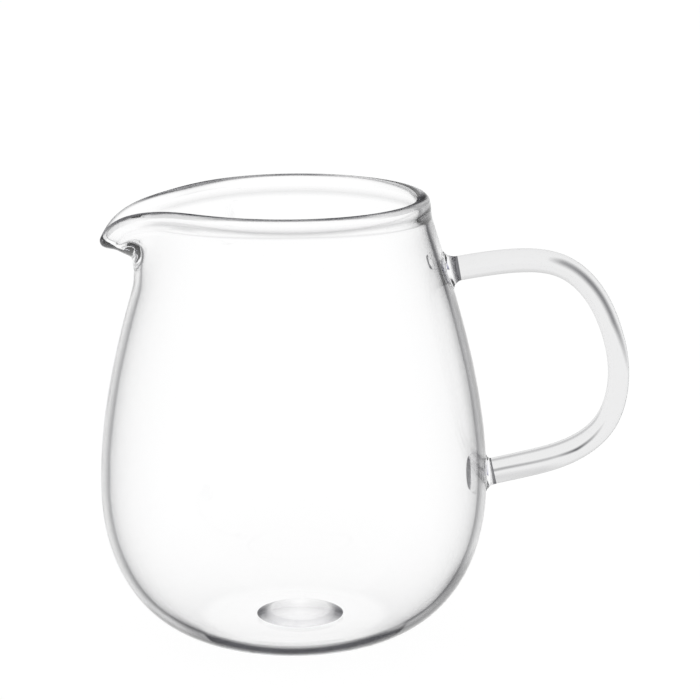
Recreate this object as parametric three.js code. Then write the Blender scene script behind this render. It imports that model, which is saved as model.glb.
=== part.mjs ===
import * as THREE from 'three';

// A clear glass creamer: a blown pear-shaped vessel with a flat base, a thick
// rounded rim drawn out into a drooping spout, and a solid rod handle that two
// gathers of glass hold to the wall. Sizes are in millimetres and degrees. The
// base stands on the table at the origin, the spout points to -X, the handle to
// +X, and up is +Z.

// Vessel
const HEIGHT = 80.3;            // table to the top of the rim
const BELLY_DIAMETER = 70;      // outside, at the widest
const BELLY_HEIGHT = 27.4;      // table to the widest part
const RIM_DIAMETER = 48.8;      // outside of the rim
const RIM_LEAN = 16;            // lean of the wall under the rim, from upright
const FOOT_DIAMETER = 27;       // flat underside
const FOOT_SWEEP = 11.8;        // pull of the flat underside on the outline
const LOWER_SWEEP = 16.7;       // pull of the belly on the outline below it
const UPPER_SWEEP = 19.4;       // pull of the belly on the outline above it
const NECK_SWEEP = 14.7;        // pull of the leaning rim on the outline
const WALL = 1.55;              // thickness of the blown wall
const BASE_WALL = 1.7;          // thickness of the base
const BASE_BLEND = 20;          // length over which the base thins to the wall
const BEAD_DIAMETER = 2.5;      // thickness of the fire-rounded rim
const BEAD_BLEND = 4;           // length over which the wall swells to the rim

// Spout
const SPOUT_REACH = 34.8;       // axis to the tip
const SPOUT_DROP = 6.7;         // tip below the rim
const SPOUT_DEPTH = 13.6;       // rim down to where the wall starts to be drawn out
const SPOUT_ROUND = 3;          // half height of the soft bend there
const THROAT_DEPTH = 7.5;       // rim down to the throat, where the lip bends out
const THROAT_ROUND = 1;         // half height of the bend there
const THROAT_SHARE = 0.27;      // share of the drawing out that lies below the throat
const SPOUT_SPREAD = 30.2;      // angle over which the drawn lip rounds off
const SPOUT_FADE = 3;           // how quickly the lip fades into the round rim
const SPOUT_DIP_SPREAD = 7.8;   // angle over which its dip rounds off
const SPOUT_DIP_FADE = 0.75;    // how quickly the dip fades into the level rim

// Handle
const HANDLE_REACH = 60.5;      // axis to the outside of the grip
const UPPER_WELD_DROP = 13.9;   // upper end of the handle's line, below the rim
const LOWER_WELD_RISE = 1.6;    // lower end of the handle's line, above the belly
const UPPER_ROD_DIAMETER = 4.4;
const GRIP_DIAMETER = 3.8;
const LOWER_ROD_DIAMETER = 4.8;

// Points on the handle's line: share of its reach, share of its height
const UPPER_BEND_SHARES = [[0.375, 1.045], [0.655, 1.019], [0.85, 0.882], [0.967, 0.668]];
const GRIP_BEND_SHARES = [[1, 0.468]];
const LOWER_BEND_SHARES = [[0.911, 0.255], [0.636, 0.11], [0.263, 0.038]];

// Where the rod tapers to the grip: shares of the handle's length, start and end
const UPPER_TAPER_SHARES = [0.05, 0.5];
const LOWER_TAPER_SHARES = [0.55, 0.9];

// Gathers that weld the handle on
const UPPER_WELD_RADIUS = 3.6;  // on the wall
const LOWER_WELD_RADIUS = 3.4;
const UPPER_WELD_LENGTH = 2.4;  // along the handle's line
const LOWER_WELD_LENGTH = 1.8;
const WELD_EDGE_ANGLE = 30;     // between the gather's edge and the wall
const WELD_FULLNESS = 0.4;      // roundness of the hollow curve from wall to rod

// Button of glass that seals the base
const BUTTON_DIAMETER = 16;
const BUTTON_HEIGHT = 1.9;
const BUTTON_OFFSET = 1;        // towards the handle, as hand-set

// Clearance kept between fused pieces so that each stays a body of its own
const FUSION_GAP = 0.3;

// Glass
const GLASS_COLOUR = 0xe6ecec;
const GLASS_ROUGHNESS = 0.05;
const GLASS_OPACITY = 0.35;

// Smoothness
const COLUMNS = 72;             // round the vessel
const COLUMN_CROWDING = 0.5;    // closer columns at the spout and the handle
const ROWS_BELOW_BELLY = 9;
const ROWS_ABOVE_BELLY = 6;
const ROWS_BELOW_THROAT = 4;
const ROWS_IN_THROAT = 4;
const ROWS_IN_LIP = 5;
const BEAD_ROWS = 6;
const ROD_SIDES = 16;
const ROD_STEPS = 40;
const WELD_SIDES = 20;
const WELD_ROWS = 7;
const SEAT_ROWS = 3;
const BUTTON_SIDES = 40;
const BUTTON_ROWS = 8;

const LINE_STEPS = 600;         // for measuring the handle's line
const HALVINGS = 40;            // for finding a height on the wall
const NUDGE = 1e-4;             // step for measuring slopes
const ACROSS = new THREE.Vector3(0, 1, 0);
const rad = THREE.MathUtils.degToRad;
const smooth = THREE.MathUtils.smoothstep;

// Middle of the glass, from the axis along the base, round the belly to the rim
const rimHeight = HEIGHT - BEAD_DIAMETER / 2;
const rimRadius = (RIM_DIAMETER - BEAD_DIAMETER) / 2;
const bellyRadius = (BELLY_DIAMETER - WALL) / 2;
const footRadius = FOOT_DIAMETER / 2;
const footHeight = BASE_WALL / 2;
const neckRadius = rimRadius + NECK_SWEEP * Math.sin(rad(RIM_LEAN));
const neckHeight = rimHeight - NECK_SWEEP * Math.cos(rad(RIM_LEAN));

const baseLine = new THREE.LineCurve(
  new THREE.Vector2(0, footHeight),
  new THREE.Vector2(footRadius, footHeight),
);
const lowerLine = new THREE.CubicBezierCurve(
  new THREE.Vector2(footRadius, footHeight),
  new THREE.Vector2(footRadius + FOOT_SWEEP, footHeight),
  new THREE.Vector2(bellyRadius, BELLY_HEIGHT - LOWER_SWEEP),
  new THREE.Vector2(bellyRadius, BELLY_HEIGHT),
);
const upperLine = new THREE.CubicBezierCurve(
  new THREE.Vector2(bellyRadius, BELLY_HEIGHT),
  new THREE.Vector2(bellyRadius, BELLY_HEIGHT + UPPER_SWEEP),
  new THREE.Vector2(neckRadius, neckHeight),
  new THREE.Vector2(rimRadius, rimHeight),
);
const midline = new THREE.CurvePath();
midline.add(baseLine);
midline.add(lowerLine);
midline.add(upperLine);
const lineLength = midline.getLength();
const footShare = baseLine.getLength() / lineLength;
const bellyShare = footShare + lowerLine.getLength() / lineLength;

// Share of the midline at a height on the wall
function shareAtHeight(height) {
  let low = footShare;
  let high = 1;
  for (let i = 0; i < HALVINGS; i += 1) {
    const middle = (low + high) / 2;
    if (midline.getPoint(middle).y < height) {
      low = middle;
    } else {
      high = middle;
    }
  }
  return low;
}

// Half of the glass thickness along the midline
function halfThickness(share) {
  const fromFoot = (share - footShare) * lineLength;
  const toRim = (1 - share) * lineLength;
  const base = (BASE_WALL - WALL) * (1 - smooth(fromFoot, 0, BASE_BLEND));
  const bead = (BEAD_DIAMETER - WALL) * (1 - smooth(toRim, 0, BEAD_BLEND));
  return (WALL + base + bead) / 2;
}

// Nothing below zero and the value itself above, with a rounded bend between
function ramp(value, round) {
  if (value < -round) {
    return 0;
  }
  return value > round ? value : (value + round) ** 2 / (4 * round);
}

// Share of the spout's drawing out at a height: slight below the throat, steep in the lip
function spoutShare(height) {
  const lower = THROAT_SHARE / (SPOUT_DEPTH - THROAT_DEPTH);
  const upper = (1 - THROAT_SHARE) / THROAT_DEPTH;
  const aboveStart = ramp(height - rimHeight + SPOUT_DEPTH, SPOUT_ROUND);
  const aboveThroat = ramp(height - rimHeight + THROAT_DEPTH, THROAT_ROUND);
  return lower * aboveStart + (upper - lower) * aboveThroat;
}

// Middle of the glass at an angle round the vessel, drawn out and down at the spout
const spoutPull = SPOUT_REACH - BEAD_DIAMETER / 2 - rimRadius;

function wallMiddle(angle, share) {
  const point = midline.getPoint(share);
  const drawn = spoutShare(point.y);
  const turn = Math.atan2(-Math.sin(angle), -Math.cos(angle));
  const lip = (1 + (turn / rad(SPOUT_SPREAD)) ** 2) ** -SPOUT_FADE;
  const dip = (1 + (turn / rad(SPOUT_DIP_SPREAD)) ** 2) ** -SPOUT_DIP_FADE;
  const radius = point.x + spoutPull * drawn * lip;
  const height = point.y - SPOUT_DROP * drawn * dip;
  return new THREE.Vector3(radius * Math.cos(angle), radius * Math.sin(angle), height);
}

// Direction up the wall
function wallRise(angle, share) {
  const below = wallMiddle(angle, share - NUDGE);
  const above = wallMiddle(angle, Math.min(share + NUDGE, 1));
  return above.sub(below).normalize();
}

// Direction out of the wall
function wallOut(angle, share) {
  const left = wallMiddle(angle - NUDGE, share);
  const right = wallMiddle(angle + NUDGE, share);
  return right.sub(left).cross(wallRise(angle, share)).normalize();
}

// Point at a distance from the middle of the glass, outward when positive
function wallPoint(angle, share, distance) {
  return wallMiddle(angle, share).addScaledVector(wallOut(angle, share), distance);
}

// Angles evenly spread round a circle
function turnsRound(count) {
  return Array.from({ length: count }, (_, i) => (2 * Math.PI * i) / count);
}

// Point on a round section across a line
function sectionPoint(centre, along, radius, turn) {
  const top = along.clone().cross(ACROSS).normalize();
  return centre.clone()
    .addScaledVector(ACROSS, radius * Math.cos(turn))
    .addScaledVector(top, radius * Math.sin(turn));
}

// Closed body skinned over rings of points, with a point to close each end
function skin(rings, first, last) {
  const sides = rings[0].length;
  const points = [first, ...rings.flat(), last];
  const triangles = [];
  const at = (ring, side) => 1 + ring * sides + (side % sides);
  for (let side = 0; side < sides; side += 1) {
    triangles.push(0, at(0, side + 1), at(0, side));
    for (let ring = 0; ring < rings.length - 1; ring += 1) {
      triangles.push(at(ring, side), at(ring, side + 1), at(ring + 1, side));
      triangles.push(at(ring, side + 1), at(ring + 1, side + 1), at(ring + 1, side));
    }
    triangles.push(at(rings.length - 1, side), at(rings.length - 1, side + 1), points.length - 1);
  }
  const geometry = new THREE.BufferGeometry().setFromPoints(points);
  geometry.setIndex(triangles);
  geometry.computeVertexNormals();
  return geometry;
}

// Steps evenly spread after a start, up to and with an end
function spread(start, end, count) {
  return Array.from({ length: count }, (_, i) => start + ((end - start) * (i + 1)) / count);
}

// Vessel body: outside of the base and wall, round the rim, and down the inside
function vesselBody() {
  const angles = turnsRound(COLUMNS).map(
    (turn) => turn - (COLUMN_CROWDING * Math.sin(2 * turn)) / 2,
  );
  const drawnShare = shareAtHeight(rimHeight - SPOUT_DEPTH - SPOUT_ROUND);
  const throatShare = shareAtHeight(rimHeight - THROAT_DEPTH - THROAT_ROUND);
  const lipShare = shareAtHeight(rimHeight - THROAT_DEPTH + THROAT_ROUND);
  const shares = [
    footShare,
    ...spread(footShare, bellyShare, ROWS_BELOW_BELLY),
    ...spread(bellyShare, drawnShare, ROWS_ABOVE_BELLY),
    ...spread(drawnShare, throatShare, ROWS_BELOW_THROAT),
    ...spread(throatShare, lipShare, ROWS_IN_THROAT),
    ...spread(lipShare, 1, ROWS_IN_LIP),
  ];
  const ringAt = (share, side) => angles.map(
    (angle) => wallPoint(angle, share, side * halfThickness(share)),
  );
  const beadRing = (tilt) => angles.map((angle) => {
    const across = (Math.cos(tilt) * BEAD_DIAMETER) / 2;
    const along = (Math.sin(tilt) * BEAD_DIAMETER) / 2;
    return wallPoint(angle, 1, across).addScaledVector(wallRise(angle, 1), along);
  });
  const rings = [
    ...shares.map((share) => ringAt(share, 1)),
    ...spread(0, Math.PI, BEAD_ROWS).slice(0, -1).map(beadRing),
    ...shares.toReversed().map((share) => ringAt(share, -1)),
  ];
  const underside = new THREE.Vector3(0, 0, 0);
  const floor = new THREE.Vector3(0, 0, BASE_WALL);
  return skin(rings, underside, floor);
}

// Handle's line, from the wall at the upper weld round the grip to the lower weld
const upperShare = shareAtHeight(HEIGHT - UPPER_WELD_DROP);
const lowerShare = shareAtHeight(BELLY_HEIGHT + LOWER_WELD_RISE);
const upperFoot = wallPoint(0, upperShare, halfThickness(upperShare));
const lowerFoot = wallPoint(0, lowerShare, halfThickness(lowerShare));
const gripLine = HANDLE_REACH - GRIP_DIAMETER / 2;

function bendPoint(foot, [out, rise]) {
  const reach = foot.x + out * (gripLine - foot.x);
  const height = lowerFoot.z + rise * (upperFoot.z - lowerFoot.z);
  return new THREE.Vector3(reach, 0, height);
}

const handleLine = new THREE.CatmullRomCurve3([
  upperFoot,
  ...UPPER_BEND_SHARES.map((bend) => bendPoint(upperFoot, bend)),
  ...GRIP_BEND_SHARES.map((bend) => bendPoint(lowerFoot, bend)),
  ...LOWER_BEND_SHARES.map((bend) => bendPoint(lowerFoot, bend)),
  lowerFoot,
]);
handleLine.arcLengthDivisions = LINE_STEPS;
const handleLength = handleLine.getLength();

// Round section of the handle at a distance along its line
function rodRadius(distance) {
  const share = distance / handleLength;
  const upper = (UPPER_ROD_DIAMETER - GRIP_DIAMETER) * (1 - smooth(share, ...UPPER_TAPER_SHARES));
  const lower = (LOWER_ROD_DIAMETER - GRIP_DIAMETER) * smooth(share, ...LOWER_TAPER_SHARES);
  return (GRIP_DIAMETER + upper + lower) / 2;
}

function rodRing(distance) {
  const centre = handleLine.getPointAt(distance / handleLength);
  const along = handleLine.getTangentAt(distance / handleLength);
  const radius = rodRadius(distance);
  return turnsRound(ROD_SIDES).map((turn) => sectionPoint(centre, along, radius, turn));
}

function handleRod() {
  const start = UPPER_WELD_LENGTH + FUSION_GAP;
  const end = handleLength - LOWER_WELD_LENGTH - FUSION_GAP;
  const distances = [start, ...spread(start, end, ROD_STEPS)];
  const first = handleLine.getPointAt(start / handleLength);
  const last = handleLine.getPointAt(end / handleLength);
  return skin(distances.map(rodRing), first, last);
}

// Gather between the wall and an end of the rod: a seat that follows the wall, then
// a hollow curve that narrows to the round section of the rod
function weldGather(share, seatRadius, ringCentre, outward, ringRadius) {
  const turns = turnsRound(WELD_SIDES);
  const seatRadii = spread(0, seatRadius, SEAT_ROWS);
  const girth = wallPoint(0, share, halfThickness(share)).x;
  const seatPoint = (turn, radius) => {
    const angle = (radius * Math.cos(turn)) / girth;
    const height = share + (radius * Math.sin(turn)) / lineLength;
    return wallPoint(angle, height, halfThickness(height) + FUSION_GAP);
  };
  const flanks = turns.map((turn) => {
    const edge = seatPoint(turn, seatRadius);
    const centreward = seatPoint(turn, seatRadii.at(-2)).sub(edge).normalize();
    const rim = sectionPoint(ringCentre, outward, ringRadius, turn);
    const span = edge.distanceTo(rim) * WELD_FULLNESS;
    const rise = centreward.multiplyScalar(Math.cos(rad(WELD_EDGE_ANGLE)))
      .addScaledVector(outward, Math.sin(rad(WELD_EDGE_ANGLE)));
    const fromWall = edge.clone().addScaledVector(rise, span);
    const toRod = rim.clone().addScaledVector(outward, -span);
    return new THREE.CubicBezierCurve3(edge, fromWall, toRod, rim);
  });
  const rings = [
    ...seatRadii.map((radius) => turns.map((turn) => seatPoint(turn, radius))),
    ...spread(0, 1, WELD_ROWS).map((part) => flanks.map((flank) => flank.getPoint(part))),
  ];
  return skin(rings, seatPoint(0, 0), ringCentre);
}

function upperWeld() {
  const part = UPPER_WELD_LENGTH / handleLength;
  const centre = handleLine.getPointAt(part);
  const outward = handleLine.getTangentAt(part);
  const radius = rodRadius(UPPER_WELD_LENGTH);
  return weldGather(upperShare, UPPER_WELD_RADIUS, centre, outward, radius);
}

function lowerWeld() {
  const part = 1 - LOWER_WELD_LENGTH / handleLength;
  const centre = handleLine.getPointAt(part);
  const outward = handleLine.getTangentAt(part).negate();
  const radius = rodRadius(handleLength - LOWER_WELD_LENGTH);
  return weldGather(lowerShare, LOWER_WELD_RADIUS, centre, outward, radius);
}

// Button: a low round cap, thin at its edge
function baseButton() {
  const floor = BASE_WALL + FUSION_GAP;
  const capRing = (part) => turnsRound(BUTTON_SIDES).map((turn) => {
    const radius = (part * BUTTON_DIAMETER) / 2;
    return new THREE.Vector3(
      BUTTON_OFFSET + radius * Math.cos(turn),
      radius * Math.sin(turn),
      floor + BUTTON_HEIGHT * (1 - part * part),
    );
  });
  const parts = [1, ...spread(1, 0, BUTTON_ROWS).slice(0, -1)];
  const below = new THREE.Vector3(BUTTON_OFFSET, 0, floor);
  const above = new THREE.Vector3(BUTTON_OFFSET, 0, floor + BUTTON_HEIGHT);
  return skin(parts.map(capRing), below, above);
}

// Assembly
const creamer = new THREE.Group();

function add(name, geometry) {
  const glass = new THREE.MeshStandardMaterial({
    color: GLASS_COLOUR,
    roughness: GLASS_ROUGHNESS,
    metalness: 0,
    transparent: true,
    opacity: GLASS_OPACITY,
  });
  const mesh = new THREE.Mesh(geometry, glass);
  mesh.name = name;
  creamer.add(mesh);
}

add('vessel_body', vesselBody());
add('handle_rod', handleRod());
add('upper_handle_weld', upperWeld());
add('lower_handle_weld', lowerWeld());
add('base_button', baseButton());

export default creamer;
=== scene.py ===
import math

import bpy
import numpy as np
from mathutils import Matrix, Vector


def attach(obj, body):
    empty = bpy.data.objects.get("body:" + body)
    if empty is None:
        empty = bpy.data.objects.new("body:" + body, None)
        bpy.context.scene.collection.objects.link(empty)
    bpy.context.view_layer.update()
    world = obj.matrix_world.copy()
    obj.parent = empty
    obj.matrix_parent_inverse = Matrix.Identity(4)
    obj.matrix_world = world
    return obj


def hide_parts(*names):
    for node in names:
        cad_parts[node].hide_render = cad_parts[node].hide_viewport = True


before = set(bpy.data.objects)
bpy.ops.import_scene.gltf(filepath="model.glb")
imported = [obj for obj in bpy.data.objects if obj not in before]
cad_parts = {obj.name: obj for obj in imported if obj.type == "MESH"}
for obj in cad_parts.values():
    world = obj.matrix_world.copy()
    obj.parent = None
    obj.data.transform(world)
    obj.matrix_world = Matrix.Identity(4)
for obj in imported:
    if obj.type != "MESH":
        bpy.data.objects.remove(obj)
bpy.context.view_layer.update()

# A clear glass creamer, made as fine meshes of the same forms as the solids. All
# sizes are in millimetres and degrees and become metres when a mesh is written.
# The rod runs into its weld gathers and the button into the base with no gap. The
# faces between them are see-through, because light passes through fused glass unturned.
MM = 0.001

# Vessel: a sweep is how far a curve runs on in the direction of its end, and a blend is
# how far the thicker glass of the base or of the rim thins into the wall
HEIGHT = 80.3
BELLY_DIAMETER = 70.0
BELLY_HEIGHT = 27.4
RIM_DIAMETER = 48.8
RIM_LEAN = 16.0
FOOT_DIAMETER = 27.0
FOOT_SWEEP = 11.8
LOWER_SWEEP = 16.7
UPPER_SWEEP = 19.4
NECK_SWEEP = 14.7
WALL = 1.55
BASE_WALL = 1.7
BASE_BLEND = 20.0
BEAD_DIAMETER = 2.5
BEAD_BLEND = 3.4

# Spout: where its tip lies, how deep under the rim the wall is drawn, the sharp bend of
# the throat with its share of the pull, and how the lip fades round the rim
SPOUT_REACH = 34.35
SPOUT_DROP = 7.1
SPOUT_DEPTH = 13.6
SPOUT_START_ROUND = 3.0
THROAT_DEPTH = 7.5
THROAT_SHARE = 0.27
THROAT_ROUND = 1.0
SPOUT_SPREAD = 30.2
SPOUT_FADE = 3.0
SPOUT_DIP_SPREAD = 7.8
SPOUT_DIP_FADE = 0.75

# Handle: its bends as shares of its reach and of the height between the welds, and the
# shares of its length between which the rod thins to the grip and thickens after it
HANDLE_REACH = 60.5
UPPER_WELD_HEIGHT = 66.4
LOWER_WELD_HEIGHT = 29.0
UPPER_ROD_DIAMETER = 4.4
GRIP_DIAMETER = 3.8
LOWER_ROD_DIAMETER = 4.8
UPPER_BEND = ((0.375, 1.045), (0.655, 1.019), (0.85, 0.882), (0.967, 0.668))
GRIP_BEND = ((1.0, 0.468),)
LOWER_BEND = ((0.911, 0.255), (0.636, 0.11), (0.263, 0.038))
UPPER_TAPER = (0.05, 0.5)
LOWER_TAPER = (0.55, 0.9)

# Weld gathers
UPPER_WELD_RADIUS = 3.6
LOWER_WELD_RADIUS = 3.4
UPPER_WELD_LENGTH = 2.0
LOWER_WELD_LENGTH = 1.4
WELD_EDGE_ANGLE = 30.0
WELD_FULLNESS = 0.4

# Flat drop of glass on the inside of the wall behind each weld: radius, height and how
# far its middle lies above the weld's
UPPER_DROP = (1.8, 1.5, 2.4)
LOWER_DROP = (4.0, 1.65, 0.0)
DROP_FULLNESS = 6

# Swelling of the inside of the wall in the bend under the lip
THROAT_SWELL = 1.1
THROAT_SWELL_RISE = 0.2
THROAT_SWELL_ANGLE = 9.0
THROAT_SWELL_LENGTH = 2.6

# Button of glass on the inside of the base
BUTTON_DIAMETER = 16.0
BUTTON_HEIGHT = 1.9
BUTTON_OFFSET = 1.0

# Fineness of the meshes and of the lines that they follow
OUTLINE_POINTS = 3000
LINE_POINTS = 4000
COLUMNS = 288
ROW_STEP = 0.6
BEAD_ROWS = 20
FLAT_RINGS = 10
SEAT_SIDES = 80
SEAT_RINGS = 8
FLANK_ROWS = 24
DROP_ROWS = 32
DROP_SEAT_SHARES = (0.7, 0.4)
ROD_STEP = 0.5
ROD_SIDES = 120
BUTTON_ROWS = 24

# Step for measuring a slope, and the gap between the wall and the gathers and drops
NUDGE = 0.05
SEAT_GAP = 0.02

# Glass: its refraction, what it takes up for each metre, the faint lavender that it lets
# through, its clear colour and the colour that painted shade darkens it to
GLASS_IOR = 1.47
GLASS_DENSITY = 2.0
GLASS_TINT = (0.5, 0.5, 0.64, 1.0)
CLEAR_GLASS = (1.0, 1.0, 1.0, 1.0)
PAINTED_SHADE_COLOUR = (0.0, 0.0, 0.012, 1.0)

# Unevenness of the surface: waves for each metre, their height, the roughest polish and
# the stretch of the waves over which the polish gets rougher
WAVE_SCALE = 70.0
WAVE_HEIGHT = 0.03
POLISH_ROUGHNESS = 0.01
POLISH_STOPS = (0.4, 0.7)

# Painted shade: dark lines painted into the glass's colour, as shares of the light they take
# away. The inner and the outer shade darken light that is turned back inside the wall, the
# edge and the outline shade a surface seen at a grazing angle, and the streak shade, painted
# in streaks, any surface seen from outside.
SHADES = ("inner_shade", "outer_shade", "edge_shade", "outline_shade", "streak_shade")

# Where these lines lie between a surface that is faced (0) and one that is grazed (1)
INNER_LINE_STOPS = (0.267, 0.2934)
OUTER_LINE_STOPS = (0.2748, 0.298)
OUTER_LINE_FADE = (0.33, 0.38)
EDGE_STOPS = (0.17, 0.38)
OUTLINE_STOPS = (0.57, 0.67)
OUTLINE_FADE = (0.72, 0.9)

# Share of the light that is turned back inside the glass, from the least to all of it
MIRRORED_SHARES = (0.04, 1.0)

# Painted shade along the inner and the outer line of the wall. Cosines and sines, here and
# below, are those of the angle from the handle.
WALL_SHADE = 0.66
LOW_SHADE = 0.22
LOW_SHADE_HEIGHTS = (8.0, 20.0)
HANDLE_SIDE_SHADE = 0.08
HANDLE_SIDE_COSINES = (0.0, 0.7)
OUTER_SHADE = 1.05
OUTER_CLEAR_HEIGHTS = (12.0, 18.0, 27.0, 38.0)
NECK_SHADE = 0.45
NECK_CLEARNESS = 0.6
NECK_SHADE_HEIGHTS = (58.0, 70.0)

# Painted shade on the outline of the wall, and the painted dark arcs along the foot
HIGH_OUTLINE_SHADE = 0.1
LOW_OUTLINE_SHADE = 0.4
LOW_OUTLINE_HEIGHTS = (13.0, 19.0)
LOW_OUTLINE_COSINES = (0.75, 0.92)
LOW_OUTLINE_TURNS = (30.0, 34.0, 36.0, 48.0)
FOOT_SHADE = 0.87
FOOT_CLEARNESS = 0.6
FOOT_RUNS = (2.0, 5.0, 15.0, 18.0)
FOOT_ARC_MIDDLE = 5.6
FOOT_ARC_ENDS = (37.9, 39.9)

# Painted shade of the rim: shares of its darkness at the back, at the far end, at the far
# side of the spout and on its flanks, the sines of the tilt over which its top darkens, and
# its unevenness in waves (share, number round the rim, start)
RIM_SHADE = 0.84
RIM_BACK_SHARE = 0.8
RIM_BACK_SINES = (-0.3, 0.5)
RIM_END_SHARE = 0.15
RIM_END_COSINES = (0.1, 0.5)
RIM_END_SINES = (-0.1, 0.2)
RIM_SPOUT_SHARE = 0.5
RIM_SPOUT_COSINES = (0.955, 0.985)
RIM_SPOUT_SINES = (0.0, 0.15)
RIM_OUTSIDE_SHARES = (0.3, 0.85)
RIM_NEAR_SINES = (0.7, 0.97)
RIM_INSIDE_SHARE = 0.3
RIM_TOP_TILTS = (0.5, 0.9)
RIM_UNEVENNESS = 0.15
RIM_WAVES = ((0.5, 5, 1), (0.3, 11, 2), (0.2, 23, 0))

# Less painted shade under the rim, and streaks of painted shade there: darkness, distance from the
# rim, width
RIM_INNER_SHADE = 0.2
RIM_CLEAR_RUN = 2 * BEAD_BLEND
OVER_HANDLE_COSINES = (0.9, 0.99)
OUTER_SHADE_STREAK = (0.3, 1.1, 0.4)
INNER_SHADE_STREAK = (0.15, 1.8, 0.7)
SHADE_STREAK_SPOUT_FADE = (0.1, 0.5)

# Painted shade at the welds, on the handle rod and on the button
WELD_CLEARNESS = 1.2
WELD_CLEAR_SPREAD = 1.3
UPPER_CLEAR_RISE = 2.0
LOWER_WELD_SHADE = 1.0
GATHER_RING_SHADE = 0.8
UPPER_RING_SHARES = (0.3, 0.7)
LOWER_RING_SHARES = (0.6, 0.9)
DROP_SHADE = 0.97
DROP_SHADE_SHARES = (0.68, 0.8)
ROD_SHADE = 0.35
ROD_OUTER_SHADE = 0.12
ROD_EVEN_SHADE = 0.16
BUTTON_EDGE_SHADE = 0.9
BUTTON_EDGE_SHARES = (0.55, 0.9)
BUTTON_SIDE_SHADE = 0.35

# Streaks of painted shade along the handle rod: width as an angle round the rod, then the
# share of the handle's length, the angle round the rod and the darkness at each stop
ROD_SHADE_STREAKS = (
    (20.0, ((0.04, 160, 0.0), (0.1, 166, 0.1), (0.22, 156, 0.1), (0.26, 152, 0.65), (0.33, 155, 0.78),
            (0.44, 154, 0.72), (0.52, 137, 0.4), (0.6, 111, 0.0))),
    (34.0, ((0.04, 212, 0.12), (0.22, 212, 0.12), (0.4, 215, 0.0))),
    (8.0, ((0.66, 200, 0.0), (0.74, 189, 0.6), (0.78, 186, 0.9), (0.83, 192, 0.5), (0.96, 198, 0.6))),
    (30.0, ((0.75, 150, 0.0), (0.87, 150, 0.3), (0.97, 160, 0.3))),
    (13.0, ((0.6, 262, 0.0), (0.7, 246, 0.4), (0.8, 250, 0.45), (0.97, 250, 0.45))),
)


def smooth(value, low, high):
    share = np.clip((value - low) / (high - low), 0, 1)
    return share * share * (3 - 2 * share)


def normalized(vectors):
    return vectors / np.linalg.norm(vectors, axis=-1, keepdims=True)


def bezier(start, start_pull, end_pull, end, count):
    t = np.linspace(0, 1, count).reshape((-1,) + (1,) * np.ndim(start))
    first = (1 - t) ** 3 * start + 3 * t * (1 - t) ** 2 * start_pull
    return first + 3 * t * t * (1 - t) * end_pull + t ** 3 * end


# Middle of the glass, from the axis along the base and up the wall to the rim
RIM_HEIGHT = HEIGHT - BEAD_DIAMETER / 2
RIM_RADIUS = (RIM_DIAMETER - BEAD_DIAMETER) / 2
BELLY_RADIUS = (BELLY_DIAMETER - WALL) / 2
FOOT_RADIUS = FOOT_DIAMETER / 2
FOOT_HEIGHT = BASE_WALL / 2
NECK_RADIUS = RIM_RADIUS + NECK_SWEEP * math.sin(math.radians(RIM_LEAN))
NECK_HEIGHT = RIM_HEIGHT - NECK_SWEEP * math.cos(math.radians(RIM_LEAN))

lower_line = bezier(
    np.array((FOOT_RADIUS, FOOT_HEIGHT)),
    np.array((FOOT_RADIUS + FOOT_SWEEP, FOOT_HEIGHT)),
    np.array((BELLY_RADIUS, BELLY_HEIGHT - LOWER_SWEEP)),
    np.array((BELLY_RADIUS, BELLY_HEIGHT)),
    OUTLINE_POINTS,
)
upper_line = bezier(
    np.array((BELLY_RADIUS, BELLY_HEIGHT)),
    np.array((BELLY_RADIUS, BELLY_HEIGHT + UPPER_SWEEP)),
    np.array((NECK_RADIUS, NECK_HEIGHT)),
    np.array((RIM_RADIUS, RIM_HEIGHT)),
    OUTLINE_POINTS,
)
outline = np.concatenate(([(0.0, FOOT_HEIGHT)], lower_line, upper_line[1:]))
run = np.concatenate(([0.0], np.cumsum(np.linalg.norm(np.diff(outline, axis=0), axis=1))))
FOOT_RUN = FOOT_RADIUS
RIM_RUN = run[-1]


def run_at_height(height):
    return float(np.interp(height, outline[1:, 1], run[1:]))


def half_thickness(along):
    base = (BASE_WALL - WALL) * (1 - smooth(along - FOOT_RUN, 0, BASE_BLEND))
    bead = (BEAD_DIAMETER - WALL) * (1 - smooth(RIM_RUN - along, 0, BEAD_BLEND))
    return (WALL + base + bead) / 2


def ramp(value, softness):
    """Zero below zero and the value itself above, with a rounded bend between."""
    bend = (value + softness) ** 2 / (4 * softness)
    return np.where(value < -softness, 0.0, np.where(value > softness, value, bend))


def spout_pull(height):
    """Share of the spout's pull: slight below the throat, steep in the lip above it."""
    lower = THROAT_SHARE / (SPOUT_DEPTH - THROAT_DEPTH)
    upper = (1 - THROAT_SHARE) / THROAT_DEPTH
    above_start = ramp(height - RIM_HEIGHT + SPOUT_DEPTH, SPOUT_START_ROUND)
    above_throat = ramp(height - RIM_HEIGHT + THROAT_DEPTH, THROAT_ROUND)
    return lower * above_start + (upper - lower) * above_throat


def spout_turn(angle):
    """Angle from the middle of the spout."""
    return np.arctan2(-np.sin(angle), -np.cos(angle))


def spout_lip(angle):
    """How much of the drawn lip there is at an angle round the vessel."""
    return (1 + (spout_turn(angle) / math.radians(SPOUT_SPREAD)) ** 2) ** -SPOUT_FADE


def wall_middle(angle, along):
    """Middle of the glass, drawn out and down at the spout."""
    radius = np.interp(along, run, outline[:, 0])
    height = np.interp(along, run, outline[:, 1])
    depth = spout_pull(height)
    turn = spout_turn(angle)
    dip = (1 + (turn / math.radians(SPOUT_DIP_SPREAD)) ** 2) ** -SPOUT_DIP_FADE
    radius = radius + (SPOUT_REACH - BEAD_DIAMETER / 2 - RIM_RADIUS) * depth * spout_lip(angle)
    height = height - SPOUT_DROP * depth * dip
    return np.stack((radius * np.cos(angle), radius * np.sin(angle), height), axis=-1)


def wall_rise(angle, along):
    above = np.minimum(along + NUDGE, RIM_RUN)
    return normalized(wall_middle(angle, above) - wall_middle(angle, along - NUDGE))


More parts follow.
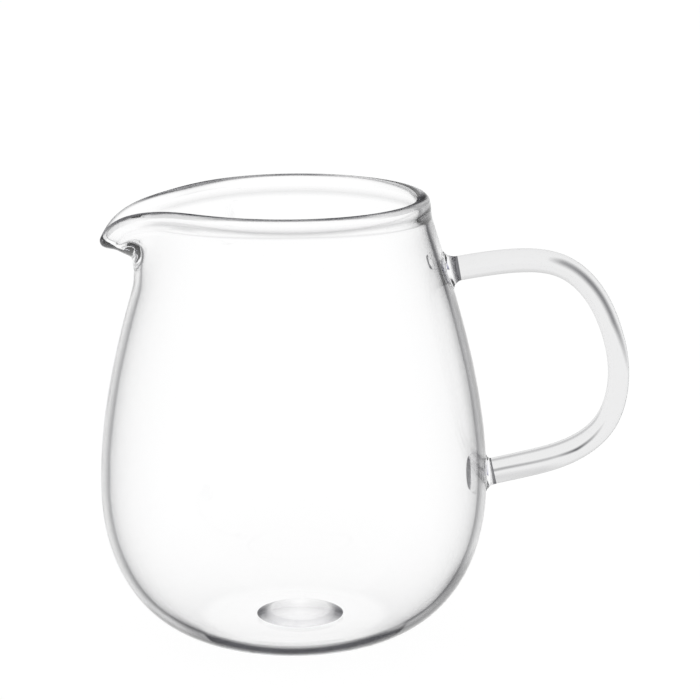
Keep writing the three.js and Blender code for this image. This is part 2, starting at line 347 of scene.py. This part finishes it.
def wall_out(angle, along):
    nudge = math.radians(NUDGE)
    across = wall_middle(angle + nudge, along) - wall_middle(angle - nudge, along)
    return normalized(np.cross(across, wall_rise(angle, along)))


def wall_point(angle, along, distance):
    """Point at a distance from the middle of the glass, outward when positive."""
    angle, along, distance = np.broadcast_arrays(angle, along, distance)
    return wall_middle(angle, along) + distance[..., None] * wall_out(angle, along)


class GlassMesh:
    """Points in millimetres with their painted shades, and faces of outer or fused glass."""

    def __init__(self, materials):
        self.materials = materials
        self.points = []
        self.shades = {name: [] for name in SHADES}
        self.faces = []
        self.fused = []

    def add(self, points, inner=0.0, outer=0.0, edge=0.0, outline=0.0, streak=0.0):
        points = np.asarray(points, float)
        start = len(self.points)
        self.points.extend(points.reshape(-1, 3).tolist())
        for name, shade in zip(SHADES, (inner, outer, edge, outline, streak)):
            self.shades[name].extend(np.broadcast_to(shade, points.shape[:-1]).ravel().tolist())
        return np.arange(start, len(self.points)).reshape(points.shape[:-1])

    def face(self, corners, fused):
        self.faces.append([int(corner) for corner in corners])
        self.fused.append(fused)

    def band(self, lower, upper, fused=False):
        """Quads between two closed rings, facing out when the second lies above."""
        count = len(lower)
        for i in range(count):
            j = (i + 1) % count
            self.face((lower[i], lower[j], upper[j], upper[i]), fused)

    def bands(self, rings, fused=False):
        for lower, upper in zip(rings, rings[1:]):
            self.band(lower, upper, fused)

    def fan(self, ring, centre, fused=False):
        for i in range(len(ring)):
            self.face((ring[i], ring[(i + 1) % len(ring)], centre), fused)

    def crease(self, mesh):
        """Keeps the outer glass from being shaded round the corner of a fused face."""
        kinds = {}
        for corners, fused in zip(self.faces, self.fused):
            for pair in zip(corners, corners[1:] + corners[:1]):
                kinds.setdefault(tuple(sorted(pair)), set()).add(fused)
        sharp = [len(kinds[tuple(sorted(edge.vertices))]) > 1 for edge in mesh.edges]
        mesh.attributes.new("sharp_edge", "BOOLEAN", "EDGE").data.foreach_set("value", sharp)

    def write(self, name):
        mesh = bpy.data.meshes.new(name)
        mesh.from_pydata((np.array(self.points) * MM).tolist(), [], self.faces)
        for material in self.materials:
            mesh.materials.append(material)
        mesh.polygons.foreach_set("material_index", np.array(self.fused, np.int32))
        mesh.shade_smooth()
        self.crease(mesh)
        for shade, values in self.shades.items():
            attribute = mesh.attributes.new(shade, "FLOAT", "POINT")
            attribute.data.foreach_set("value", values)
        piece = bpy.data.objects.new(name, mesh)
        bpy.context.scene.collection.objects.link(piece)
        return piece


def turns(count):
    return np.arange(count) * 2 * math.pi / count


def circle(radius, height, centre_x=0.0):
    angle = turns(COLUMNS)
    x = centre_x + radius * np.cos(angle)
    return np.stack((x, radius * np.sin(angle), np.full(COLUMNS, float(height))), axis=-1)


# Handle's line: a smooth curve from the wall round the grip and back to the wall
UPPER_RUN = run_at_height(UPPER_WELD_HEIGHT)
LOWER_RUN = run_at_height(LOWER_WELD_HEIGHT)
UPPER_FOOT = wall_point(0.0, UPPER_RUN, half_thickness(UPPER_RUN))
LOWER_FOOT = wall_point(0.0, LOWER_RUN, half_thickness(LOWER_RUN))
ACROSS = np.array((0.0, 1.0, 0.0))


def bend_point(foot, bend):
    out, rise = bend
    reach = foot[0] + out * (HANDLE_REACH - GRIP_DIAMETER / 2 - foot[0])
    return reach, 0.0, LOWER_FOOT[2] + rise * (UPPER_FOOT[2] - LOWER_FOOT[2])


def natural_spline(knots, count):
    """Curve through the knots with no break in its curvature."""
    knots = np.asarray(knots, float)
    at = np.concatenate(([0.0], np.cumsum(np.sqrt(np.linalg.norm(np.diff(knots, axis=0), axis=1)))))
    step = np.diff(at)
    slope = np.diff(knots, axis=0) / step[:, None]
    size = len(knots)
    system = np.eye(size)
    right = np.zeros_like(knots)
    for i in range(1, size - 1):
        system[i, i - 1:i + 2] = step[i - 1], 2 * (step[i - 1] + step[i]), step[i]
        right[i] = 6 * (slope[i] - slope[i - 1])
    curve = np.linalg.solve(system, right)
    t = np.linspace(0, at[-1], count)
    i = np.clip(np.searchsorted(at, t) - 1, 0, size - 2)
    h = step[i][:, None]
    a = (at[i + 1] - t)[:, None]
    b = (t - at[i])[:, None]
    bent = (curve[i] * a ** 3 + curve[i + 1] * b ** 3) / (6 * h)
    straight = (knots[i] / h - curve[i] * h / 6) * a + (knots[i + 1] / h - curve[i + 1] * h / 6) * b
    return bent + straight


handle_line = natural_spline(
    [UPPER_FOOT]
    + [bend_point(UPPER_FOOT, bend) for bend in UPPER_BEND]
    + [bend_point(LOWER_FOOT, bend) for bend in GRIP_BEND + LOWER_BEND]
    + [LOWER_FOOT],
    LINE_POINTS,
)
handle_run = np.linalg.norm(np.diff(handle_line, axis=0), axis=1).cumsum()
handle_run = np.concatenate(([0.0], handle_run))
HANDLE_LENGTH = handle_run[-1]


def handle_point(distance):
    return np.stack([np.interp(distance, handle_run, handle_line[:, i]) for i in range(3)], axis=-1)


def handle_direction(distance):
    return normalized(handle_point(distance + NUDGE) - handle_point(distance - NUDGE))


def rod_radius(distance):
    share = distance / HANDLE_LENGTH
    upper = (UPPER_ROD_DIAMETER - GRIP_DIAMETER) * (1 - smooth(share, *UPPER_TAPER))
    lower = (LOWER_ROD_DIAMETER - GRIP_DIAMETER) * smooth(share, *LOWER_TAPER)
    return (GRIP_DIAMETER + upper + lower) / 2


class Weld:
    """Where an end of the handle meets the wall, and the gather and the drop there."""

    def __init__(self, name, along, seat_radius, drop, ring_shares, distance, sign):
        self.name = name
        self.along = along
        self.seat_radius = seat_radius
        self.drop_radius, self.drop_height, self.drop_rise = drop
        self.ring_shares = ring_shares
        self.centre = handle_point(distance)
        self.outward = handle_direction(distance) * sign
        self.rod_radius = float(rod_radius(distance))
        self.girth = wall_point(0.0, along, half_thickness(along))[0]

    def place(self, turn, radius):
        """Angle and distance along the wall of a point of the seat."""
        return radius * np.cos(turn) / self.girth, self.along + radius * np.sin(turn)

    def distance_from(self, angle, along):
        turn = np.arctan2(np.sin(angle), np.cos(angle))
        return np.hypot(turn * self.girth, along - self.along)


welds = (
    Weld("upper_handle_weld", UPPER_RUN, UPPER_WELD_RADIUS, UPPER_DROP, UPPER_RING_SHARES,
         UPPER_WELD_LENGTH, 1),
    Weld("lower_handle_weld", LOWER_RUN, LOWER_WELD_RADIUS, LOWER_DROP, LOWER_RING_SHARES,
         HANDLE_LENGTH - LOWER_WELD_LENGTH, -1),
)
THROAT_RUN = run_at_height(RIM_HEIGHT - THROAT_DEPTH)


def outer_point(angle, along):
    return wall_point(angle, along, half_thickness(along))


def inner_point(angle, along):
    """Inside of the wall, swollen in the bend under the lip."""
    depth = half_thickness(along)
    turn = spout_turn(angle) / math.radians(THROAT_SWELL_ANGLE)
    rise = (along - THROAT_RUN - THROAT_SWELL_RISE) / THROAT_SWELL_LENGTH
    depth = depth + THROAT_SWELL * np.exp(-turn ** 2 - rise ** 2)
    return wall_point(angle, along, -depth)


def seat_point(angle, along):
    return wall_point(angle, along, half_thickness(along) + SEAT_GAP)


def seat_points(weld):
    """Rings of the seat from its edge to near its centre, then the centre."""
    turn = turns(SEAT_SIDES)
    radii = weld.seat_radius * (1 - np.arange(SEAT_RINGS) / SEAT_RINGS)
    rings = [seat_point(*weld.place(turn, radius)) for radius in radii]
    return rings, seat_point(0.0, weld.along)


# Painted shade of the vessel


def window(value, stops):
    """One between the middle two of four stops, fading to nothing at the outer two."""
    return smooth(value, *stops[:2]) * (1 - smooth(value, *stops[2:]))


def lightened(share, amount):
    """Factor that falls from one to a share of it as the amount grows from nothing to one."""
    return 1 - (1 - share) * amount


def side_turn(angle):
    """Degrees towards the handle from the nearer of the vessel's two broad sides."""
    return np.degrees(np.arctan2(np.cos(angle), np.abs(np.sin(angle))))


def on_handle_side(angle):
    return smooth(np.cos(angle), *HANDLE_SIDE_COSINES)


def on_neck(angle, height):
    return smooth(height, *NECK_SHADE_HEIGHTS) * on_handle_side(angle)


def off_base(along):
    """Nothing on the flat base and one on the wall."""
    return smooth(along - FOOT_RUN, *FOOT_RUNS[:2])


def on_foot_arc(angle, along):
    """One on the painted dark arc along the foot of each broad side."""
    arc = 1 - smooth(np.abs(side_turn(angle) - FOOT_ARC_MIDDLE), *FOOT_ARC_ENDS)
    return arc * window(along - FOOT_RUN, FOOT_RUNS)


def rim_clearness(angle):
    """How far the painted shade is lifted under the rim: less over the handle and at the spout."""
    over_handle = smooth(np.cos(angle), *OVER_HANDLE_COSINES)
    return np.where(np.cos(angle) > 0, 1 - over_handle, np.sin(angle) ** 2)


def weld_nearness(angle, along):
    """How near a place on the wall is to the upper and to the lower weld."""
    upper, lower = welds
    to_upper = upper.distance_from(angle, along - UPPER_CLEAR_RISE) / upper.seat_radius
    to_lower = lower.distance_from(angle, along) / lower.seat_radius
    return [np.exp(-(distance / WELD_CLEAR_SPREAD) ** 2) for distance in (to_upper, to_lower)]


def inner_line(angle, along, height):
    """Painted shade of the wall's inner line: darker low down and at the neck, lighter under the rim.
    """
    shade = WALL_SHADE + LOW_SHADE * (1 - smooth(height, *LOW_SHADE_HEIGHTS))
    shade = shade + HANDLE_SIDE_SHADE * on_handle_side(angle) + NECK_SHADE * on_neck(angle, height)
    under_rim = (1 - smooth(RIM_RUN - along, 0, RIM_CLEAR_RUN)) * rim_clearness(angle)
    shade = shade + (RIM_INNER_SHADE - shade) * under_rim
    return shade * (1 - FOOT_CLEARNESS * on_foot_arc(angle, along)) * off_base(along)


def outer_line(angle, along, height):
    """Painted shade of the wall's outer line, on the handle's side: lifted at the upper weld, dark at
    the lower.
    """
    shade = OUTER_SHADE * on_handle_side(angle) * (1 - window(height, OUTER_CLEAR_HEIGHTS))
    shade = shade * (1 - NECK_CLEARNESS * on_neck(angle, height))
    shade = shade * (1 - on_foot_arc(angle, along)) * off_base(along)
    at_upper, at_lower = weld_nearness(angle, along)
    shade = shade - (shade + WELD_CLEARNESS) * at_upper
    return shade + (LOWER_WELD_SHADE - shade) * at_lower


def wall_outline(angle, along, height):
    """Painted shade on the wall's outline: dark arcs along the foot, fainter lines beside and above
    them.
    """
    low = smooth(np.cos(angle), *LOW_OUTLINE_COSINES) + window(-side_turn(angle), LOW_OUTLINE_TURNS)
    low = low * (1 - smooth(height, *LOW_OUTLINE_HEIGHTS)) * off_base(along)
    at_upper, at_lower = weld_nearness(angle, along)
    high = on_handle_side(angle) * smooth(height, *OUTER_CLEAR_HEIGHTS[2:]) * (1 - at_upper - at_lower)
    lines = LOW_OUTLINE_SHADE * low + HIGH_OUTLINE_SHADE * high
    return np.maximum(FOOT_SHADE * on_foot_arc(angle, along), lines)


def rim_shade_streak(angle, along, streak):
    """Streak of painted shade round under the rim, which fades at the spout."""
    shade, drop, width = streak
    away = (RIM_RUN - along - drop) / width
    return shade * np.exp(-away ** 2) * (1 - smooth(spout_lip(angle), *SHADE_STREAK_SPOUT_FADE))


def outer_shades(angle, along):
    """Painted shades of the outside of the wall, whose inner line has none round each weld."""
    height = outer_point(angle, along)[..., 2]
    return {
        "inner": inner_line(angle, along, height) * (1 - sum(weld_nearness(angle, along))),
        "outer": outer_line(angle, along, height),
        "outline": wall_outline(angle, along, height),
        "streak": rim_shade_streak(angle, along, OUTER_SHADE_STREAK),
    }


def inner_shades(angle, along):
    """Painted shades of the inside of the wall, which has no outline of its own."""
    height = outer_point(angle, along)[..., 2]
    return {
        "inner": inner_line(angle, along, height),
        "outer": outer_line(angle, along, height),
        "streak": rim_shade_streak(angle, along, INNER_SHADE_STREAK),
    }


def rim_shade(angle):
    """Painted shade on the edge of the rim: lighter at the back, over the handle and at the spout, and
    uneven.
    """
    end = smooth(np.cos(angle), *RIM_END_COSINES) * smooth(np.sin(angle), *RIM_END_SINES)
    spout = smooth(-np.cos(angle), *RIM_SPOUT_COSINES) * smooth(np.sin(angle), *RIM_SPOUT_SINES)
    shade = RIM_SHADE * lightened(RIM_BACK_SHARE, smooth(np.sin(angle), *RIM_BACK_SINES))
    shade = shade * lightened(RIM_END_SHARE, end) * lightened(RIM_SPOUT_SHARE, spout)
    uneven = sum(share * np.sin(number * angle + start) for share, number, start in RIM_WAVES)
    return shade * (1 + RIM_UNEVENNESS * uneven)


# Vessel body


def add_rim(body, angle):
    """Rounded rim from the outside of the wall to its inside, with painted shade darkest along the
    top.
    """
    along = np.full(COLUMNS, RIM_RUN)
    middle = wall_middle(angle, along)
    out = wall_out(angle, along)
    up = wall_rise(angle, along)
    inner = inner_shades(angle, along)["inner"]
    shade = rim_shade(angle)
    outside_share = np.interp(smooth(-np.sin(angle), *RIM_NEAR_SINES), (0, 1), RIM_OUTSIDE_SHARES)
    rings = []
    for tilt in np.linspace(0, math.pi, BEAD_ROWS + 1)[1:-1]:
        flank_share = outside_share if tilt < math.pi / 2 else RIM_INSIDE_SHARE
        # Painted shade on the top and the flanks of the rim
        edge = shade * np.maximum(smooth(math.sin(tilt), *RIM_TOP_TILTS), flank_share)
        points = middle + (math.cos(tilt) * out + math.sin(tilt) * up) * BEAD_DIAMETER / 2
        rings.append(body.add(points, inner=inner, edge=edge))
    return rings


def add_floor(body, ring):
    """Inside of the base, with the fused seat of the button."""
    radius = BUTTON_DIAMETER / 2
    rings = [ring]
    for share in np.arange(1, FLAT_RINGS + 1) / FLAT_RINGS:
        size = FOOT_RADIUS + share * (radius - FOOT_RADIUS)
        rings.append(body.add(circle(size, BASE_WALL, BUTTON_OFFSET * share)))
    body.bands(rings)
    seat = body.add(circle(radius / 2, BASE_WALL, BUTTON_OFFSET))
    body.band(rings[-1], seat, fused=True)
    body.fan(seat, body.add((BUTTON_OFFSET, 0.0, BASE_WALL)), fused=True)


def add_underside(body, ring):
    rings = [ring]
    for share in np.arange(1, FLAT_RINGS) / FLAT_RINGS:
        rings.append(body.add(circle(FOOT_RADIUS * (1 - share), 0.0)))
    body.bands([ring[::-1] for ring in rings])
    body.fan(rings[-1][::-1], body.add((0.0, 0.0, 0.0)))


def make_vessel():
    body = GlassMesh(glass)
    angle = turns(COLUMNS)
    rows = round((RIM_RUN - FOOT_RUN) / ROW_STEP) + 1
    upward = np.linspace(FOOT_RUN, RIM_RUN, rows)[:, None]
    downward = upward[::-1]
    outer = body.add(outer_point(angle, upward), **outer_shades(angle, upward))
    rim = add_rim(body, angle)
    inner = body.add(inner_point(angle, downward), **inner_shades(angle, downward))
    body.bands([*outer, *rim, *inner])
    add_floor(body, inner[-1])
    add_underside(body, outer[0])
    return body.write("creamer_vessel")


# Weld gathers


def drop_point(weld, share, depth):
    """Points of the drop at a share of its radius and a depth from the wall."""
    turn = turns(SEAT_SIDES) if share else 0.0
    angle, along = weld.place(turn, weld.drop_radius * share)
    along = along + weld.drop_rise
    return wall_point(angle, along, -half_thickness(along) - SEAT_GAP - depth)


def add_drop(gather, weld):
    """Flat drop on the inside of the wall, with painted shade where its top is seen aslant."""
    shares = np.sin(np.linspace(math.pi / 2, 0, DROP_ROWS + 1)[:-1])
    top = []
    for share in shares:
        full = 1 - share ** DROP_FULLNESS
        points = drop_point(weld, share, weld.drop_height * full)
        top.append(gather.add(points, edge=DROP_SHADE * smooth(full, *DROP_SHADE_SHARES)))
    centre = gather.add(drop_point(weld, 0, weld.drop_height), edge=DROP_SHADE)
    gather.bands([ring[::-1] for ring in top])
    gather.fan(top[-1][::-1], centre)
    seat = [top[0]] + [gather.add(drop_point(weld, share, 0.0)) for share in DROP_SEAT_SHARES]
    gather.bands(seat)
    gather.fan(seat[-1], gather.add(drop_point(weld, 0, 0.0)))


def make_weld(weld):
    gather = GlassMesh(glass)
    turn = turns(SEAT_SIDES)
    rings, centre = seat_points(weld)
    seat = [gather.add(points) for points in rings]
    gather.bands([ring[::-1] for ring in seat])
    gather.fan(seat[-1][::-1], gather.add(centre))

    edge = rings[0]
    inward = normalized(rings[1] - edge)
    top = normalized(np.cross(weld.outward, ACROSS))
    section = np.cos(turn)[:, None] * ACROSS + np.sin(turn)[:, None] * top
    end = weld.centre + weld.rod_radius * section
    span = np.linalg.norm(end - edge, axis=1, keepdims=True) * WELD_FULLNESS
    tilt = math.radians(WELD_EDGE_ANGLE)
    rise = math.cos(tilt) * inward + math.sin(tilt) * weld.outward
    flank = bezier(edge, edge + span * rise, end - span * weld.outward, end, FLANK_ROWS + 1)
    rows = [seat[0]]
    # Painted shade in a dark ring round the flank towards the rod
    for share, points in zip(np.arange(1, FLANK_ROWS + 1) / FLANK_ROWS, flank[1:]):
        rows.append(gather.add(points, streak=GATHER_RING_SHADE * smooth(share, *weld.ring_shares)))
    gather.bands(rows)
    gather.fan(rows[-1], gather.add(weld.centre), fused=True)
    add_drop(gather, weld)
    return gather.write(weld.name + "_gather")


# Handle rod


def rod_shade_streaks(share, turn):
    """Darkness of the painted shade streaks at a share of the handle's length, round the rod."""
    dark = np.zeros(len(turn))
    for width, stops in ROD_SHADE_STREAKS:
        at, middle, depth = (np.array(values) for values in zip(*stops))
        away = turn - math.radians(np.interp(share, at, middle))
        away = np.arctan2(np.sin(away), np.cos(away)) / math.radians(width)
        dark = np.maximum(dark, np.interp(share, at, depth) * np.exp(-away ** 2))
    return dark


def make_rod():
    rod = GlassMesh(glass)
    start = UPPER_WELD_LENGTH
    end = HANDLE_LENGTH - LOWER_WELD_LENGTH
    distances = np.linspace(start, end, round((end - start) / ROD_STEP) + 1)
    turn = turns(ROD_SIDES)
    rings = []
    for distance in distances:
        top = normalized(np.cross(handle_direction(distance), ACROSS))
        section = np.cos(turn)[:, None] * ACROSS + np.sin(turn)[:, None] * top
        points = handle_point(distance) + rod_radius(distance) * section
        # Painted shade: the streaks, over an even grey on all of the rod
        streak = np.maximum(rod_shade_streaks(distance / HANDLE_LENGTH, turn), ROD_EVEN_SHADE)
        rings.append(rod.add(points, inner=ROD_SHADE, outer=ROD_OUTER_SHADE, streak=streak))
    rod.bands(rings)
    rod.fan(rings[0][::-1], rod.add(handle_point(start)), fused=True)
    rod.fan(rings[-1], rod.add(handle_point(end)), fused=True)
    return rod.write("creamer_handle")


# Button


def make_button():
    button = GlassMesh(glass)
    radius = BUTTON_DIAMETER / 2
    side = np.cos(turns(COLUMNS)) ** 2
    rings = []
    for share in np.linspace(1, 0, BUTTON_ROWS + 1)[:-1]:
        height = BASE_WALL + BUTTON_HEIGHT * (1 - share * share)
        # Painted shade, dark at the ends towards the handle and the spout and greyer towards them
        edge = BUTTON_EDGE_SHADE * smooth(share, *BUTTON_EDGE_SHARES) * side ** 2
        points = circle(radius * share, height, BUTTON_OFFSET)
        rings.append(button.add(points, edge=edge, streak=BUTTON_SIDE_SHADE * side * share))
    button.bands(rings)
    button.fan(rings[-1], button.add((BUTTON_OFFSET, 0.0, BASE_WALL + BUTTON_HEIGHT)))
    seat = button.add(circle(radius / 2, BASE_WALL, BUTTON_OFFSET))
    button.band(rings[0][::-1], seat[::-1], fused=True)
    button.fan(seat[::-1], button.add((BUTTON_OFFSET, 0.0, BASE_WALL)), fused=True)
    return button.write("creamer_base_button")


# Materials


class ShaderNodes:
    """A material's nodes, with short ways to add and link those used often."""

    def __init__(self, tree):
        self.nodes = tree.nodes
        self.links = tree.links

    def put(self, value, socket):
        """Links an output to a socket, or sets the socket to a number or a colour."""
        if isinstance(value, bpy.types.NodeSocket):
            self.links.new(value, socket)
        else:
            socket.default_value = value

    def attribute(self, name):
        node = self.nodes.new("ShaderNodeAttribute")
        node.attribute_name = name
        return node.outputs["Fac"]

    def combine(self, operation, first, second):
        node = self.nodes.new("ShaderNodeMath")
        node.operation = operation
        self.put(first, node.inputs[0])
        self.put(second, node.inputs[1])
        return node.outputs[0]

    def rescale(self, value, stops, ends, kind="LINEAR"):
        """Moves a value from the range between two stops to the one between two ends."""
        node = self.nodes.new("ShaderNodeMapRange")
        node.interpolation_type = kind
        names = ("Value", "From Min", "From Max", "To Min", "To Max")
        for name, item in zip(names, (value, *stops, *ends)):
            self.put(item, node.inputs[name])
        return node.outputs["Result"]

    def mix(self, share, first, second):
        node = self.nodes.new("ShaderNodeMix")
        node.data_type = "RGBA"
        self.put(share, node.inputs["Factor"])
        colours = [socket for socket in node.inputs if socket.type == "RGBA"]
        for socket, colour in zip(colours, (first, second)):
            self.put(colour, socket)
        return [socket for socket in node.outputs if socket.type == "RGBA"][0]


def new_material(name):
    material = bpy.data.materials.new(name)
    material.use_nodes = True
    return material, ShaderNodes(material.node_tree)


def add_absorption(tree):
    """Takes up a little light along the way through the glass."""
    volume = tree.nodes.new("ShaderNodeVolumeAbsorption")
    volume.inputs["Color"].default_value = GLASS_TINT
    volume.inputs["Density"].default_value = GLASS_DENSITY
    tree.links.new(volume.outputs[0], tree.nodes["Material Output"].inputs["Volume"])


def add_unevenness(tree, shader):
    """Slow waves of blown glass in the surface, and a fire polish that varies a little."""
    place = tree.nodes.new("ShaderNodeTexCoord")
    waves = tree.nodes.new("ShaderNodeTexNoise")
    waves.inputs["Scale"].default_value = WAVE_SCALE
    tree.links.new(place.outputs["Object"], waves.inputs["Vector"])
    bump = tree.nodes.new("ShaderNodeBump")
    bump.inputs["Distance"].default_value = WAVE_HEIGHT * MM
    tree.links.new(waves.outputs["Fac"], bump.inputs["Height"])
    tree.links.new(bump.outputs["Normal"], shader.inputs["Normal"])
    polish = tree.rescale(waves.outputs["Fac"], POLISH_STOPS, (0.0, POLISH_ROUGHNESS))
    tree.links.new(polish, shader.inputs["Roughness"])


def glass_colour(tree):
    """Colour of the glass, darkened by the painted shades of its surface."""
    mirror = tree.nodes.new("ShaderNodeLayerWeight")
    mirror.inputs["Blend"].default_value = 1 - 1 / GLASS_IOR
    facing = tree.nodes.new("ShaderNodeLayerWeight").outputs["Facing"]
    inside = tree.nodes.new("ShaderNodeNewGeometry").outputs["Backfacing"]
    inner, outer, edge, outline, streak = (tree.attribute(name) for name in SHADES)

    def grazing(stops, ends=(0.0, 1.0)):
        return tree.rescale(facing, stops, ends, "SMOOTHSTEP")

    # Painted shade on light that is turned back inside the glass
    inner = grazing(INNER_LINE_STOPS, (inner, 0.0))
    outer = grazing(OUTER_LINE_STOPS, (0.0, outer))
    outer = tree.combine("MULTIPLY", outer, grazing(OUTER_LINE_FADE, (1.0, 0.0)))
    turned = tree.rescale(mirror.outputs["Fresnel"], MIRRORED_SHARES, (0.0, 1.0))
    turned = tree.combine("MULTIPLY", turned, tree.combine("ADD", inner, outer))
    turned = tree.combine("MULTIPLY", turned, inside)

    # Painted shade on surfaces seen aslant or from outside
    edge = tree.combine("MULTIPLY", edge, grazing(EDGE_STOPS))
    outline = grazing(OUTLINE_STOPS, (0.0, outline))
    outline = tree.combine("MULTIPLY", outline, grazing(OUTLINE_FADE, (1.0, 0.0)))
    seen = tree.combine("MAXIMUM", tree.combine("MAXIMUM", edge, outline), streak)
    seen = tree.combine("MULTIPLY", seen, tree.combine("SUBTRACT", 1.0, inside))
    # The painted shade mixes the clear colour towards the shaded one
    return tree.mix(tree.combine("MAXIMUM", turned, seen), CLEAR_GLASS, PAINTED_SHADE_COLOUR)


def glass_material(name):
    """Clear glass with painted shade where light is turned back inside it, and along its edges."""
    material, tree = new_material(name)
    tree.nodes.remove(tree.nodes["Principled BSDF"])
    shader = tree.nodes.new("ShaderNodeBsdfGlass")
    shader.inputs["IOR"].default_value = GLASS_IOR
    tree.links.new(glass_colour(tree), shader.inputs["Color"])
    add_unevenness(tree, shader)
    tree.links.new(shader.outputs[0], tree.nodes["Material Output"].inputs["Surface"])
    add_absorption(tree)
    return material


def fused_material(name):
    """Face between fused pieces, which light passes as if it were not there."""
    material, tree = new_material(name)
    tree.nodes["Principled BSDF"].inputs["Alpha"].default_value = 0.0
    add_absorption(tree)
    return material


glass = (glass_material("clear_glass"), fused_material("fused_glass"))

# Pieces
pieces = {
    "vessel_body": make_vessel(),
    "handle_rod": make_rod(),
    "upper_handle_weld": make_weld(welds[0]),
    "lower_handle_weld": make_weld(welds[1]),
    "base_button": make_button(),
}
for node, piece in pieces.items():
    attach(piece, "root")
    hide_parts(node)

# Stage: the floor's reach, its gap under the foot and the shares of light that it gives
# back and shows of its own, the sky's brightness at each height, and how often a ray of
# light may be turned
FLOOR_REACH = 3000.0
FLOOR_GAP = 0.1
FLOOR_SHADOW = 0.05
FLOOR_GLOW = 0.973
SKY_STOPS = ((0.0, 1.0), (0.28, 1.0), (0.45, 0.9), (1.0, 0.7))
LIGHT_BOUNCES = 48


def floor_material():
    """White in the picture and in the glass, with a faint shadow of the object."""
    material, tree = new_material("white_floor")
    shader = tree.nodes["Principled BSDF"]
    shader.inputs["Base Color"].default_value = (FLOOR_SHADOW,) * 3 + (1.0,)
    shader.inputs["Roughness"].default_value = 1.0
    shader.inputs["Specular IOR Level"].default_value = 0.0
    shader.inputs["Emission Color"].default_value = (1.0, 1.0, 1.0, 1.0)
    path = tree.nodes.new("ShaderNodeLightPath")
    seen = path.outputs["Is Camera Ray"]
    for ray in ("Is Glossy Ray", "Is Transmission Ray"):
        seen = tree.combine("MAXIMUM", seen, path.outputs[ray])
    glow = tree.combine("MULTIPLY", seen, FLOOR_GLOW)
    tree.links.new(glow, shader.inputs["Emission Strength"])
    return material


def make_floor():
    """A wide floor, a hair under the foot."""
    reach = FLOOR_REACH * MM
    corners = [(-reach, -reach, 0.0), (reach, -reach, 0.0), (reach, reach, 0.0), (-reach, reach, 0.0)]
    mesh = bpy.data.meshes.new("floor")
    mesh.from_pydata(corners, [], [(0, 1, 2, 3)])
    mesh.materials.append(floor_material())
    floor = bpy.data.objects.new("floor", mesh)
    floor.location.z = -FLOOR_GAP * MM
    return floor


def studio_world():
    """A soft dome of light: white along the floor's edge, greyer overhead."""
    world = bpy.data.worlds.new("studio")
    world.use_nodes = True
    nodes, links = world.node_tree.nodes, world.node_tree.links
    place = nodes.new("ShaderNodeTexCoord")
    parts = nodes.new("ShaderNodeSeparateXYZ")
    links.new(place.outputs["Generated"], parts.inputs[0])
    sky = nodes.new("ShaderNodeValToRGB")
    for height, _ in SKY_STOPS[1:-1]:
        sky.color_ramp.elements.new(height)
    for stop, (height, level) in zip(sky.color_ramp.elements, SKY_STOPS):
        stop.position = height
        stop.color = (level, level, level, 1.0)
    links.new(parts.outputs["Z"], sky.inputs["Fac"])
    links.new(sky.outputs["Color"], nodes["Background"].inputs["Color"])
    return world


scene = bpy.context.scene
scene.view_settings.view_transform = "Standard"
scene.world = studio_world()
scene.cycles.max_bounces = LIGHT_BOUNCES
scene.cycles.glossy_bounces = LIGHT_BOUNCES
scene.cycles.transmission_bounces = LIGHT_BOUNCES
scene.cycles.transparent_max_bounces = LIGHT_BOUNCES
floor = make_floor()
scene.collection.objects.link(floor)

# Camera
CAMERA_AIM = (10.187, 0.0, 51.932)
CAMERA_DISTANCE = 450.0
CAMERA_PITCH = 13.638
CAMERA_CLIP = 10.0
PIXELS_PER_MM = 5.5587
IMAGE_WIDTH = 700
SENSOR_WIDTH = 36.0

camera_data = bpy.data.cameras.new("camera")
camera_data.sensor_width = SENSOR_WIDTH
camera_data.lens = SENSOR_WIDTH * PIXELS_PER_MM * CAMERA_DISTANCE / IMAGE_WIDTH
camera_data.clip_start = CAMERA_CLIP * MM
camera = bpy.data.objects.new("camera", camera_data)
pitch = math.radians(CAMERA_PITCH)
look = Vector((0.0, math.cos(pitch), -math.sin(pitch)))
camera.location = (Vector(CAMERA_AIM) - look * CAMERA_DISTANCE) * MM
camera.rotation_euler = (math.pi / 2 - pitch, 0.0, 0.0)
scene.collection.objects.link(camera)
scene.camera = camera
